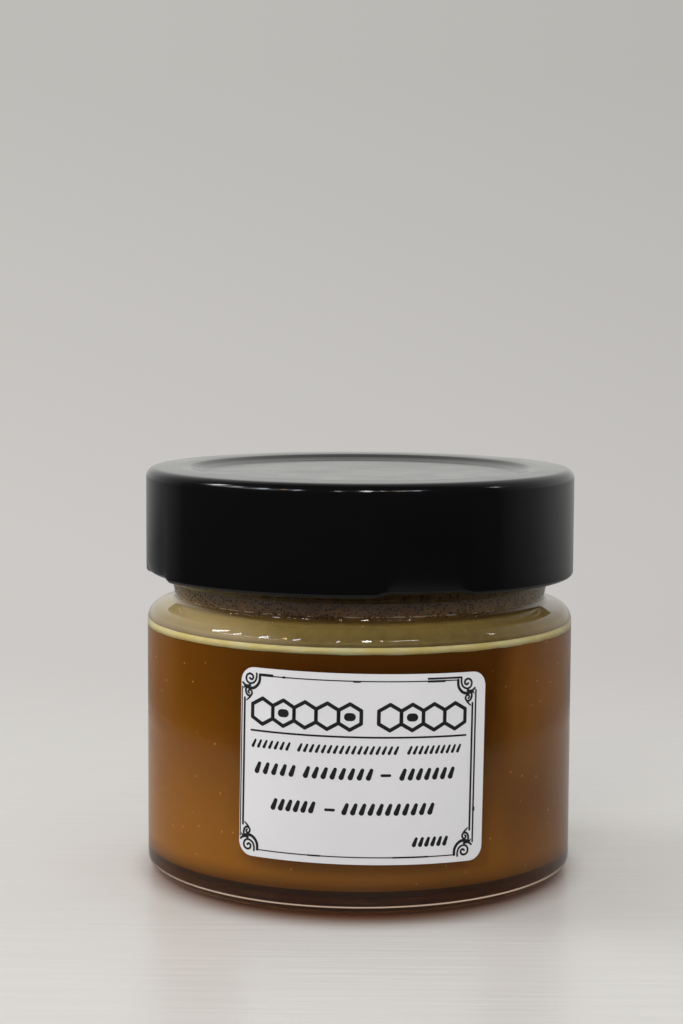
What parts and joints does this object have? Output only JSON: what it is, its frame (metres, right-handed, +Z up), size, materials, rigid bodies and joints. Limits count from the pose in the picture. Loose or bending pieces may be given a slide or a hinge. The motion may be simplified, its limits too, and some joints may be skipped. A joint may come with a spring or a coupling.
{
  "type": "honey jar",
  "caption": "Short, wide clear glass jar of creamed honey with froth on top, a deep black twist-off lid and a white paper label on the front.",
  "frame": {"origin": "centre of the jar's foot, on the surface that it stands on", "axes": "+Z up along the jar's axis; the label faces -Y; +X to the right of someone who faces the label"},
  "size_m": [0.0742, 0.0742, 0.0701],
  "materials": {
    "clear_glass": "clear pressed soda-lime glass, smooth",
    "creamed_honey": "dense amber creamed honey, wet against the glass",
    "honey_froth": "fine pale froth of set honey",
    "black_lacquered_tinplate": "smooth gloss black lacquer on drawn tinplate",
    "white_label_paper": "smooth white coated label paper with black print"
  },
  "bodies": {
    "root": {"jar": "clear_glass", "honey": "creamed_honey", "honey_foam": "honey_froth", "lid": "black_lacquered_tinplate", "label": "white_label_paper"}
  },
  "joints": []
}
